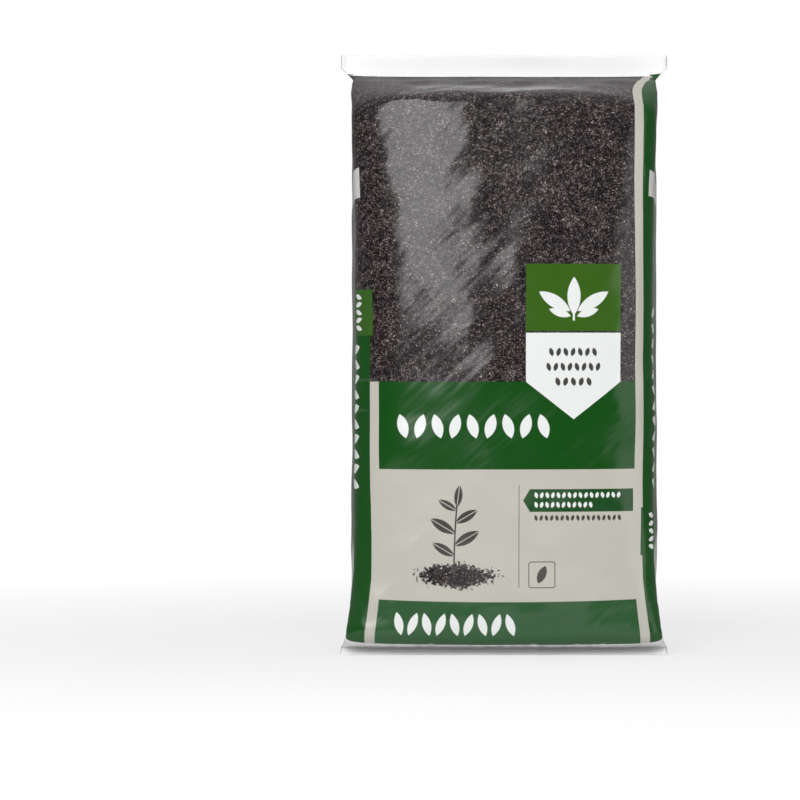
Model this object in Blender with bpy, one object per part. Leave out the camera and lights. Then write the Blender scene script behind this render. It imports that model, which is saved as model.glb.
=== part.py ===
"""A sealed bag of compost, filled and standing upright on its base.

The bag is a tube of printed polyethylene film with a gusset down each side and a heat seal across
each end. It is one closed solid. Five guide rails run up it, from the bottom seal to the top seal:
the centre of the front, the front fold, the gusset crease, the back fold and the centre of the back.
A ring of points joins the rails at each level, and the skin is a loft through the rings. The right
half is worked out, and the left half mirrors it. Near the two seals the gusset crease runs inward,
so each side has the V-shaped tuck of a gusset bag. Under the top seal the film stands up in a short
neck, and gathers run from it down the shoulders. The bottom seal is folded forward under the bag,
and the filling presses the rest of the base flat.
"""

from dataclasses import dataclass
from math import cos, pi, radians, sin, tan

import bmesh
import bpy
from mathutils import Vector

MM = 0.001

# The tube of film, laid flat
FLAT_WIDTH = 384 * MM
GUSSET_DEPTH = 45 * MM
TOP_SEAL_HEIGHT = 15 * MM
BOTTOM_SEAL_LENGTH = 16 * MM
SEAL_THICKNESS = 1.6 * MM

# The filled bag
HEIGHT = 700 * MM
BODY_DEPTH = 190 * MM
WAIST_WIDTH = 356 * MM
SHOULDER_WIDTH = 358 * MM
FOOT_WIDTH = 366 * MM
GUSSET_BULGE = 6 * MM
WAIST_LENGTH = 260 * MM
WAIST_ROUND = 100 * MM

# The top: a short neck under the seal, then both panels slope down to a break
TOP_SEAL_SET_BACK = 8 * MM
NECK_HEIGHT = 11 * MM
NECK_SPREAD = 3 * MM
NECK_ROUND = 9 * MM
SHOULDER_SLOPE = radians(16)
SHOULDER_TAPER = 11 * MM
SHOULDER_ROUND = 15 * MM
TOP_EAR_DROP = 14 * MM
TOP_EAR_SPREAD = 10 * MM
TOP_FOLD_DROP = 48 * MM
TOP_TUCK_LENGTH = 95 * MM

# Gathers in the shoulders, where the film draws in to the top seal
GATHER_DEPTH = 2.4 * MM
GATHER_PITCH = 48 * MM
GATHER_LENGTH = 75 * MM

# The base: the bottom seal is folded forward and slopes down to the floor
BOTTOM_SEAL_DRAW = 3 * MM
BOTTOM_SEAL_FORWARD = 55 * MM
BOTTOM_SEAL_CLEARANCE = 0.4 * MM
BOTTOM_SEAL_PITCH = radians(25)
FRONT_EDGE_LIFT = 14 * MM
FRONT_EDGE_TAPER = 4 * MM
FRONT_EDGE_ROUND = 12 * MM
HEEL_TAPER = 8 * MM
HEEL_ROUND = 34 * MM
BASE_SAG = 7 * MM
FRONT_CORNER_IN = 8 * MM
FRONT_CORNER_BACK = 15 * MM
FRONT_CORNER_LIFT = 22 * MM
FRONT_CORNER_ROUND = 14 * MM
FRONT_FOLD_SET = 62 * MM
REAR_CORNER_IN = 5 * MM
REAR_CORNER_BACK = 8 * MM
REAR_CORNER_LIFT = 20 * MM
REAR_CORNER_ROUND = 16 * MM
REAR_FOLD_SET = 24 * MM
CREASE_SET = 26 * MM
BOTTOM_TUCK_LENGTH = 85 * MM
FOLD_ROUND = 25 * MM
CREASE_ROUND = 40 * MM

# How square a section is: 2 is an ellipse, and a higher number is nearer a rectangle
WAIST_SQUARENESS = 2.35
SEAL_SQUARENESS = 4.5

# The mesh
PANEL_COLUMNS = 40
GUSSET_COLUMNS = 8
BODY_RINGS = 60
RING_CROWDING = 0.72
CURVE_STEPS = 48
CORNER_STEPS = 16

# Fields of print, as distances along the front from the bottom seal
LOWER_BAND_FROM = 40 * MM
BEIGE_FIELD_FROM = 88 * MM
UPPER_BAND_FROM = 242 * MM
SOIL_FIELD_FROM = 345 * MM


@dataclass(frozen=True)
class Film:
    """A colour of the printed film."""

    name: str
    hex_code: str
    roughness: float

    def material(self) -> bpy.types.Material:
        """The Principled material of this colour."""
        material = bpy.data.materials.new(self.name)
        material.use_nodes = True
        channels = [int(self.hex_code[i : i + 2], 16) / 255 for i in (0, 2, 4)]
        linear = [c / 12.92 if c <= 0.04045 else ((c + 0.055) / 1.055) ** 2.4 for c in channels]
        shader = material.node_tree.nodes["Principled BSDF"]
        shader.inputs["Base Color"].default_value = (*linear, 1.0)
        shader.inputs["Roughness"].default_value = self.roughness
        material.diffuse_color = (*linear, 1.0)
        return material


WHITE_FILM = Film("film_unprinted_white", "F2F2F0", 0.35)
GREEN_FILM = Film("film_printed_green", "2A5F2D", 0.35)
BEIGE_FILM = Film("film_printed_beige", "C6C3B8", 0.35)
SOIL_FILM = Film("film_printed_soil", "4A4241", 0.35)


@dataclass(frozen=True)
class Corner:
    """A corner of a guide rail, and how far from it the rail rounds off to each side."""

    x: float
    y: float
    z: float
    rounding: float = 0.0

    @property
    def point(self) -> Vector:
        """The corner's place."""
        return Vector((self.x, self.y, self.z))


class Curve:
    """A line through points, read by the share of its length."""

    def __init__(self, points: list[Vector]) -> None:
        self.points = points
        self.reach = [0.0]
        for start, end in zip(points, points[1:]):
            self.reach.append(self.reach[-1] + (end - start).length)

    @property
    def length(self) -> float:
        """The whole length."""
        return self.reach[-1]

    def at(self, share: float) -> Vector:
        """The point at a share of the length, from 0 to 1."""
        target = share * self.length
        last = len(self.points) - 2
        step = next((i for i in range(last) if self.reach[i + 1] >= target), last)
        span = self.reach[step + 1] - self.reach[step]
        part = (target - self.reach[step]) / span if span else 0.0
        return self.points[step].lerp(self.points[step + 1], part)


def rounded_rail(corners: list[Corner]) -> Curve:
    """A rail through its corners, each one blended over its rounding to both sides."""
    points = [corners[0].point]
    for before, corner, after in zip(corners, corners[1:], corners[2:]):
        to_before = before.point - corner.point
        to_after = after.point - corner.point
        trim = min(corner.rounding, to_before.length * 0.49, to_after.length * 0.49)
        start = corner.point + to_before.normalized() * trim
        end = corner.point + to_after.normalized() * trim
        for step in range(CORNER_STEPS + 1):
            part = step / CORNER_STEPS
            first = start.lerp(corner.point, part)
            points.append(first.lerp(corner.point.lerp(end, part), part))
    points.append(corners[-1].point)
    return Curve(points)


@dataclass(frozen=True)
class Seal:
    """A heat seal, the flat strip from its root on the body to its free edge.

    The vector along points up the tube of film, and reach is negative for the bottom seal.
    """

    root: Vector
    along: Vector
    reach: float
    half_width: float

    def face(self, front: bool, share: float = 0.0) -> Vector:
        """A point at mid width on the front or the back face, at a share of the way to the edge."""
        across = Vector((0.0, -self.along.z, self.along.y)) * (SEAL_THICKNESS / 2)
        middle = self.root + self.along * (self.reach * share)
        return middle + across if front else middle - across

    def ring(self, share: float) -> list[Vector]:
        """The right half of the strip's outline, from the centre of the front to that of the back."""
        front = self.face(True, share)
        back = self.face(False, share)
        half = Vector((self.half_width, 0.0, 0.0))
        steps = PANEL_COLUMNS // 2
        points = [front + half * (i / steps) for i in range(steps)]
        points += [front.lerp(back, i / GUSSET_COLUMNS) + half for i in range(GUSSET_COLUMNS)]
        return points + [back + half * (1 - i / steps) for i in range(steps + 1)]


def top_seal() -> Seal:
    """The top seal, which stands up from the ridge of the bag."""
    root = Vector((0.0, TOP_SEAL_SET_BACK, HEIGHT - TOP_SEAL_HEIGHT))
    return Seal(root, Vector((0.0, 0.0, 1.0)), TOP_SEAL_HEIGHT, FLAT_WIDTH / 2)


def bottom_seal() -> Seal:
    """The bottom seal, which slopes forward and down, so that its edge just clears the floor."""
    along = Vector((0.0, cos(BOTTOM_SEAL_PITCH), sin(BOTTOM_SEAL_PITCH)))
    edge_height = BOTTOM_SEAL_CLEARANCE + along.y * SEAL_THICKNESS / 2
    root_height = edge_height + along.z * BOTTOM_SEAL_LENGTH
    root = Vector((0.0, -BOTTOM_SEAL_FORWARD, root_height))
    return Seal(root, along, -BOTTOM_SEAL_LENGTH, FLAT_WIDTH / 2 - BOTTOM_SEAL_DRAW)


class Bag:
    """The filled bag: its two seals, its five guide rails and the rings that join them."""

    def __init__(self) -> None:
        self.top = top_seal()
        self.bottom = bottom_seal()
        self.waist_height = (self.top.root.z + FRONT_EDGE_LIFT) / 2
        self.front = self.front_rail()
        self.back = self.back_rail()
        self.front_fold = self.front_fold_rail()
        self.back_fold = self.back_fold_rail()
        self.crease = self.crease_rail()

    def waist(self, x: float, y: float) -> list[Corner]:
        """The upright stretch of a rail at mid height."""
        heights = (self.waist_height - WAIST_LENGTH / 2, self.waist_height + WAIST_LENGTH / 2)
        return [Corner(x, y, height, WAIST_ROUND) for height in heights]

    def shoulder(self, side: int) -> list[Corner]:
        """The shoulder's break and the neck, at mid width, on the front (-1) or the back (1)."""
        depth = BODY_DEPTH / 2 - SHOULDER_TAPER
        neck = self.top.root.z - NECK_HEIGHT
        drop = (depth - side * TOP_SEAL_SET_BACK) * tan(SHOULDER_SLOPE)
        neck_y = self.top.face(side < 0).y + side * NECK_SPREAD
        return [
            Corner(0, side * depth, neck - drop, SHOULDER_ROUND),
            Corner(0, neck_y, neck, NECK_ROUND),
        ]

    def front_rail(self) -> Curve:
        """Up the centre of the front, over the lower edge and the shoulder's break."""
        start, end = self.bottom.face(True), self.top.face(True)
        half = BODY_DEPTH / 2
        corners = [
            Corner(0, start.y, start.z),
            Corner(0, FRONT_EDGE_TAPER - half, FRONT_EDGE_LIFT, FRONT_EDGE_ROUND),
            *self.waist(0, -half),
            *self.shoulder(-1),
            Corner(0, end.y, end.z),
        ]
        return rounded_rail(corners)

    def back_rail(self) -> Curve:
        """Along the base, round the heel and up the centre of the back."""
        start, end = self.bottom.face(False), self.top.face(False)
        half = BODY_DEPTH / 2
        corners = [
            Corner(0, start.y, start.z),
            Corner(0, start.y + 3 * BASE_SAG, -BASE_SAG, 2 * BASE_SAG),
            Corner(0, half - HEEL_TAPER, -BASE_SAG, HEEL_ROUND),
            *self.waist(0, half),
            *self.shoulder(1),
            Corner(0, end.y, end.z),
        ]
        return rounded_rail(corners)

    def upper_fold(self, side: int) -> list[Corner]:
        """The front fold (-1) or the back fold (1), from the waist to the top seal's corner."""
        end = self.top.face(side < 0)
        return [
            *self.waist(WAIST_WIDTH / 2 - GUSSET_BULGE, side * GUSSET_DEPTH),
            Corner(SHOULDER_WIDTH / 2, side * GUSSET_DEPTH, end.z - TOP_FOLD_DROP, GUSSET_DEPTH / 2),
            Corner(SHOULDER_WIDTH / 2, end.y + side * TOP_EAR_SPREAD, end.z - TOP_EAR_DROP, TOP_EAR_DROP / 2),
            Corner(self.top.half_width, end.y, end.z),
        ]

    def front_fold_rail(self) -> Curve:
        """Up the fold between the front and a gusset, from seal corner to seal corner."""
        start = self.bottom.face(True)
        corner_x = self.bottom.half_width - FRONT_CORNER_IN
        corner_y = FRONT_CORNER_BACK - BODY_DEPTH / 2
        corners = [
            Corner(self.bottom.half_width, start.y, start.z),
            Corner(corner_x, corner_y, FRONT_CORNER_LIFT, FRONT_CORNER_ROUND),
            Corner(FOOT_WIDTH / 2 - GUSSET_BULGE, -FRONT_FOLD_SET, BOTTOM_TUCK_LENGTH, FOLD_ROUND),
            *self.upper_fold(-1),
        ]
        return rounded_rail(corners)

    def back_fold_rail(self) -> Curve:
        """Along the base and up the fold between a gusset and the back."""
        start = self.bottom.face(False)
        corner_x = self.bottom.half_width - REAR_CORNER_IN
        corners = [
            Corner(self.bottom.half_width, start.y, start.z),
            Corner(corner_x, start.y + GUSSET_DEPTH * 0.9, REAR_CORNER_LIFT / 4, REAR_CORNER_ROUND),
            Corner(corner_x, REAR_CORNER_BACK, REAR_CORNER_LIFT, REAR_CORNER_ROUND),
            Corner(FOOT_WIDTH / 2 - GUSSET_BULGE, REAR_FOLD_SET, BOTTOM_TUCK_LENGTH, FOLD_ROUND),
            *self.upper_fold(1),
        ]
        return rounded_rail(corners)

    def crease_rail(self) -> Curve:
        """Up the gusset's crease, which runs inward to the tucks at both ends."""
        start, end = self.bottom.root, self.top.root
        corners = [
            Corner(self.bottom.half_width - GUSSET_DEPTH, start.y, start.z),
            Corner(FOOT_WIDTH / 2, -CREASE_SET, BOTTOM_TUCK_LENGTH, CREASE_ROUND),
            *self.waist(WAIST_WIDTH / 2, 0),
            Corner(SHOULDER_WIDTH / 2, 0, end.z - TOP_TUCK_LENGTH, CREASE_ROUND),
            Corner(self.top.half_width - GUSSET_DEPTH, end.y, end.z),
        ]
        return rounded_rail(corners)

    def gathered(self, point: Vector, share: float) -> Vector:
        """The point, lifted where a gather of the shoulder runs through it."""
        down = (1 - share) * self.front.length
        if down > GATHER_LENGTH:
            return point
        run = sin(pi * down / GATHER_LENGTH) ** 2
        crest = cos(2 * pi * point.x / GATHER_PITCH) + 0.5 * cos(2 * pi * point.x / (GATHER_PITCH * 1.7))
        inside = 1 - min(abs(point.x) / (SHOULDER_WIDTH / 2), 1.0) ** 6
        return point + Vector((0.0, 0.0, GATHER_DEPTH * run * crest * inside))

    def panel(self, centre: Vector, fold: Vector, squareness: float) -> list[Vector]:
        """Half of a panel's section, from its centre to its fold."""
        points = []
        for step in range(CURVE_STEPS + 1):
            angle = pi / 2 * step / CURVE_STEPS
            out = sin(angle) ** (2 / squareness)
            full = max(cos(angle), 0.0) ** (2 / squareness)
            point = fold.lerp(centre, full)
            point.x = fold.x * out
            points.append(point)
        curve = Curve(points)
        steps = PANEL_COLUMNS // 2
        return [curve.at(i / steps) for i in range(steps + 1)]

    def ring(self, share: float) -> list[Vector]:
        """The right half of the section at a share of the rails, from front centre to back centre."""
        closing = abs(2 * share - 1) ** 4
        squareness = WAIST_SQUARENESS + (SEAL_SQUARENESS - WAIST_SQUARENESS) * closing
        front_fold, back_fold = self.front_fold.at(share), self.back_fold.at(share)
        crease = self.crease.at(share)
        steps = GUSSET_COLUMNS // 2
        front = self.panel(self.front.at(share), front_fold, squareness)
        inward = [front_fold.lerp(crease, i / steps) for i in range(1, steps)]
        outward = [crease.lerp(back_fold, i / steps) for i in range(steps)]
        back = self.panel(self.back.at(share), back_fold, squareness)
        front = [self.gathered(point, share) for point in front]
        back = [self.gathered(point, share) for point in back]
        points = front + inward + outward + back[::-1]
        for point in points:
            point.z = max(point.z, 0.0)
        return points

    def shares(self) -> list[float]:
        """The levels of the rings: close at the seals, and one on the edge of each field of print."""
        levels = []
        for ring in range(1, BODY_RINGS):
            even = ring / BODY_RINGS
            levels.append(even - RING_CROWDING * sin(2 * pi * even) / (2 * pi))
        for distance in (LOWER_BAND_FROM, BEIGE_FIELD_FROM, UPPER_BAND_FROM, SOIL_FIELD_FROM):
            edge = distance / self.front.length
            nearest = min(range(len(levels)), key=lambda i: abs(levels[i] - edge))
            levels[nearest] = edge
        return levels

    def rings(self) -> list[list[Vector]]:
        """Every half ring, from the bottom seal's free edge to the top seal's."""
        seal_steps = (1.0, 0.5, 0.0)
        lower = [self.bottom.ring(share) for share in seal_steps]
        body = [self.ring(share) for share in self.shares()]
        upper = [self.top.ring(share) for share in reversed(seal_steps)]
        return lower + body + upper

    def film_at(self, level: int, count: int) -> Film:
        """The colour of the faces above a ring."""
        levels = [0.0, 0.0, 0.0, *self.shares()]
        if level < 3 or level >= count - 3:
            return WHITE_FILM
        distance = levels[level] * self.front.length + 1e-6
        if distance < LOWER_BAND_FROM:
            return WHITE_FILM
        if distance < BEIGE_FIELD_FROM:
            return GREEN_FILM
        if distance < UPPER_BAND_FROM:
            return BEIGE_FILM
        return GREEN_FILM if distance < SOIL_FIELD_FROM else SOIL_FILM


def whole_ring(half: list[Vector]) -> list[Vector]:
    """A closed ring from its right half, which starts and ends on the plane of symmetry."""
    mirrored = [Vector((-point.x, point.y, point.z)) for point in half[-2:0:-1]]
    return half + mirrored


def cap(bm: bmesh.types.BMesh, ring: list[bmesh.types.BMVert], reverse: bool) -> None:
    """Closes a seal's free edge with a strip of faces between its front and its back."""
    count = len(ring)
    for i in range(count // 2):
        face = [ring[-i], ring[-i - 1], ring[i + 1], ring[i]] if i else [ring[0], ring[-1], ring[1]]
        corners = list(dict.fromkeys(face))
        if len(corners) > 2:
            bm.faces.new(corners[::-1] if reverse else corners)


def build() -> bpy.types.Object:
    """Makes the bag's mesh and its object."""
    bag = Bag()
    rings = [whole_ring(half) for half in bag.rings()]
    films = [WHITE_FILM, GREEN_FILM, BEIGE_FILM, SOIL_FILM]
    bm = bmesh.new()
    rows = [[bm.verts.new(point) for point in ring] for ring in rings]
    for level, (low, high) in enumerate(zip(rows, rows[1:])):
        slot = films.index(bag.film_at(level, len(rows)))
        for i in range(len(low)):
            j = (i + 1) % len(low)
            bm.faces.new((low[i], low[j], high[j], high[i])).material_index = slot
    cap(bm, rows[0], True)
    cap(bm, rows[-1], False)
    bmesh.ops.recalc_face_normals(bm, faces=bm.faces)
    mesh = bpy.data.meshes.new("filled_bag")
    bm.to_mesh(mesh)
    bm.free()
    for film in films:
        mesh.materials.append(film.material())
    mesh.shade_smooth()
    mesh.set_sharp_from_angle(angle=radians(40))
    return bpy.data.objects.new("filled_bag", mesh)


def main() -> None:
    """Clears the scene and puts the bag in a collection of its own."""
    for old in list(bpy.data.objects):
        bpy.data.objects.remove(old, do_unlink=True)
    collection = bpy.data.collections.new("compost_bag")
    bpy.context.scene.collection.children.link(collection)
    collection.objects.link(build())


main()
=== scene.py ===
"""A filled bag of compost: printed film, relaxed over its filling, in a plain studio.

The bag is built in three steps. FilledForm lofts the shape that the filling gives the bag, through
the same guide rails as the CAD model. FilmSolver then lays a film a little larger than that shape
over it, so that the film gathers at the seals and settles between the lumps of the filling.
PrintedFilm dresses the result with a print that is laid out in millimetres on the film. Lengths in
the classes are millimetres, and the meshes are made in metres.
"""

import logging
from dataclasses import dataclass, field
from enum import Enum
from math import cos, pi, radians, sin, tan

import bpy
import numpy as np
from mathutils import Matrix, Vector


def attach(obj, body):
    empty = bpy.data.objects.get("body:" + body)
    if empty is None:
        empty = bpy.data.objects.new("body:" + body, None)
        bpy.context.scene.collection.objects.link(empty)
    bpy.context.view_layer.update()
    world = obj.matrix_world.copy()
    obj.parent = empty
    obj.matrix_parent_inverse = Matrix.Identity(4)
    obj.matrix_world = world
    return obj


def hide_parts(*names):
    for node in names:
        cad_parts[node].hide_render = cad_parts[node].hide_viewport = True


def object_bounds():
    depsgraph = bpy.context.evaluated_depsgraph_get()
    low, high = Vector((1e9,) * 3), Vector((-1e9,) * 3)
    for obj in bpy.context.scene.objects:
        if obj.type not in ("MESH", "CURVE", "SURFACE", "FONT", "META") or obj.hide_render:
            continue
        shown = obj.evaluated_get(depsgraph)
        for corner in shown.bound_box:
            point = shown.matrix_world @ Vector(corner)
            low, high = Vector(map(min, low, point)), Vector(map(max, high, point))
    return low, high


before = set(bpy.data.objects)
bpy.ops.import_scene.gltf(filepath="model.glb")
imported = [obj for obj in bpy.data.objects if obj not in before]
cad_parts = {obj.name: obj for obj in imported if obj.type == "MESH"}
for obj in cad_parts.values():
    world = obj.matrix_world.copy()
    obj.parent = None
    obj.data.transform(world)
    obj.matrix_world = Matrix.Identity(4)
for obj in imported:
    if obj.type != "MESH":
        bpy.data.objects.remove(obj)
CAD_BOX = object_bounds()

LOG = logging.getLogger("compost_bag")
M_PER_MM = 0.001


def linear(hex_code: str) -> tuple[float, float, float, float]:
    """Turns an sRGB hex colour into linear light.

    Args:
        hex_code: six hex digits, such as "F2F2F0".

    Returns:
        Red, green, blue and an alpha of 1.
    """
    channels = [int(hex_code[i : i + 2], 16) / 255 for i in (0, 2, 4)]
    lit = [c / 12.92 if c <= 0.04045 else ((c + 0.055) / 1.055) ** 2.4 for c in channels]
    return (*lit, 1.0)


def add_node(
    tree: bpy.types.NodeTree, kind: str, inputs: dict | None = None, **settings: object
) -> bpy.types.Node:
    """Adds a node to a tree, with its settings, values and links.

    Args:
        tree: the node tree.
        kind: the node's type, such as "ShaderNodeMath".
        inputs: input name or number to a socket to link from, or to a value.
        settings: attributes of the node.

    Returns:
        The new node.
    """
    node = tree.nodes.new(kind)
    for name, value in settings.items():
        setattr(node, name, value)
    for key, value in (inputs or {}).items():
        if isinstance(value, Value):
            value = value.socket
        if isinstance(value, bpy.types.NodeSocket):
            tree.links.new(value, node.inputs[key])
        else:
            node.inputs[key].default_value = value
    return node


class Value:
    """A number that a material works out at each point, with plain arithmetic."""

    def __init__(self, tree: bpy.types.NodeTree, socket: bpy.types.NodeSocket) -> None:
        """Wraps an output socket.

        Args:
            tree: the tree that the socket is in.
            socket: the output that gives the number.
        """
        self.tree = tree
        self.socket = socket

    def math(self, operation: str, *others: object, clamp: bool = False) -> "Value":
        """Combines this number with others in one Math node.

        Args:
            operation: the Math node's operation.
            others: the other operands, values or plain numbers.
            clamp: whether to hold the result between 0 and 1.

        Returns:
            The result.
        """
        inputs = dict(enumerate((self, *others)))
        node = add_node(self.tree, "ShaderNodeMath", inputs, operation=operation, use_clamp=clamp)
        return Value(self.tree, node.outputs[0])

    def __add__(self, other: object) -> "Value":
        """Adds."""
        return self.math("ADD", other)

    def __sub__(self, other: object) -> "Value":
        """Subtracts."""
        return self.math("SUBTRACT", other)

    def __mul__(self, other: object) -> "Value":
        """Multiplies."""
        return self.math("MULTIPLY", other)

    def __abs__(self) -> "Value":
        """Drops the sign."""
        return self.math("ABSOLUTE")

    def over(self, other: object) -> "Value":
        """The larger of this and another."""
        return self.math("MAXIMUM", other)

    def under(self, other: object) -> "Value":
        """The smaller of this and another."""
        return self.math("MINIMUM", other)


class LinkKind(Enum):
    """How a row of the solver's links runs over the film's grid."""

    AROUND = "around"
    ALONG = "along"
    DIAGONAL = "diagonal"
    BEND = "bend"


class Rail:
    """A guide rail: a line through corners that are rounded off, read by the share of its length."""

    CORNER_STEPS = 16

    def __init__(self, corners: list[tuple[float, float, float, float]]) -> None:
        """Rounds the corners.

        Args:
            corners: x, y, z and rounding of each corner, in mm, from the bottom seal upward.
        """
        places = [np.array(corner[:3]) for corner in corners]
        points = [places[0]]
        for before, place, after, corner in zip(places, places[1:], places[2:], corners[1:]):
            down, up = before - place, after - place
            lengths = np.linalg.norm(down), np.linalg.norm(up)
            trim = min(corner[3], lengths[0] * 0.49, lengths[1] * 0.49)
            start = place + down / lengths[0] * trim
            end = place + up / lengths[1] * trim
            for part in np.linspace(0.0, 1.0, self.CORNER_STEPS + 1):
                points.append((1 - part) ** 2 * start + 2 * part * (1 - part) * place + part**2 * end)
        points.append(places[-1])
        self.points = np.array(points)
        steps = np.linalg.norm(np.diff(self.points, axis=0), axis=1)
        self.reach = np.concatenate([[0.0], np.cumsum(steps)])

    @property
    def length(self) -> float:
        """The whole length, in mm."""
        return float(self.reach[-1])

    def at(self, share: float | np.ndarray) -> np.ndarray:
        """Reads the rail.

        Args:
            share: one share of the length, or many, from 0 to 1.

        Returns:
            The points, with x, y and z last.
        """
        target = np.asarray(share) * self.length
        return np.stack([np.interp(target, self.reach, self.points[:, k]) for k in range(3)], -1)


@dataclass(frozen=True)
class BagSizes:
    """The bag's sizes in mm, as in the CAD model. The overall ones come from the CAD model's box.

    Each foot is where a fold or the crease stands at the bottom tuck, in mm behind the bag's middle.
    The heel folds are the two bends of the back fold under the base: mm behind the middle, and height.
    """

    height: float
    flat_width: float
    depth: float
    gusset: float = 45.0
    top_seal: float = 15.0
    bottom_seal: float = 16.0
    film_stack: float = 0.6
    waist: float = 356.0
    shoulder: float = 353.0
    foot: float = 358.0
    gusset_bulge: float = 6.0
    waist_length: float = 260.0
    waist_round: float = 100.0
    set_back: float = 8.0
    neck: float = 11.0
    neck_spread: float = 3.0
    neck_round: float = 9.0
    slope: float = radians(16)
    shoulder_drop: float = 38.0
    ear_drop: float = 14.0
    ear_spread: float = 10.0
    top_tuck: float = 95.0
    bottom_tuck: float = 85.0
    tuck_round: float = 25.0
    crease_round: float = 40.0
    fold_round: float = 18.0
    ear_round: float = 8.0
    shoulder_taper: float = 11.0
    shoulder_round: float = 6.0
    bottom_forward: float = 55.0
    bottom_clearance: float = 0.4
    bottom_pitch: float = radians(25)
    bottom_draw: float = 3.0
    front_corner_in: float = 8.0
    front_corner_back: float = 15.0
    front_corner_height: float = 22.0
    front_corner_round: float = 14.0
    front_foot: float = -62.0
    crease_foot: float = -26.0
    back_foot: float = 24.0
    heel_fold_in: float = 5.0
    heel_fold_low: tuple[float, float] = (-14.0, 5.0)
    heel_fold_high: tuple[float, float] = (8.0, 20.0)
    heel_fold_round: float = 16.0
    edge_lift: float = 14.0
    edge_taper: float = 4.0
    edge_round: float = 12.0
    heel_taper: float = 8.0
    heel_round: float = 34.0
    sag: float = 7.0

    @classmethod
    def from_box(cls, box: tuple) -> "BagSizes":
        """Takes the overall sizes from the CAD model's box.

        Args:
            box: its lowest and highest corners, in metres.

        Returns:
            The sizes.
        """
        span = (np.array(box[1]) - np.array(box[0])) / M_PER_MM
        return cls(height=float(span[2]), flat_width=float(span[0]), depth=float(span[1]))


@dataclass
class FilmGrid:
    """The grid of the film: columns go round the tube from the left front fold, rows go up it."""

    sizes: BagSizes
    panel_columns: int = 76
    gusset_columns: int = 18
    rows: int = 118
    crowding: float = 0.5

    @property
    def columns(self) -> int:
        """How many columns go round the tube."""
        return 2 * (self.panel_columns + self.gusset_columns)

    @property
    def girth(self) -> float:
        """The way round the tube, in mm."""
        return 2 * self.sizes.flat_width + 4 * self.sizes.gusset

    @property
    def around(self) -> np.ndarray:
        """Where each column lies round the tube.

        Returns:
            Each column's distance from the left front fold, in mm.
        """
        panel = np.linspace(0, self.sizes.flat_width, self.panel_columns, endpoint=False)
        side = np.linspace(0, 2 * self.sizes.gusset, self.gusset_columns, endpoint=False)
        half = np.concatenate([panel, self.sizes.flat_width + side])
        return np.concatenate([half, half + self.girth / 2])

    @property
    def shares(self) -> np.ndarray:
        """Each row's share of the way from seal to seal, with the rows closer at the seals."""
        even = np.linspace(0.0, 1.0, self.rows + 1)
        return even - self.crowding * np.sin(2 * pi * even) / (2 * pi)


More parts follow.
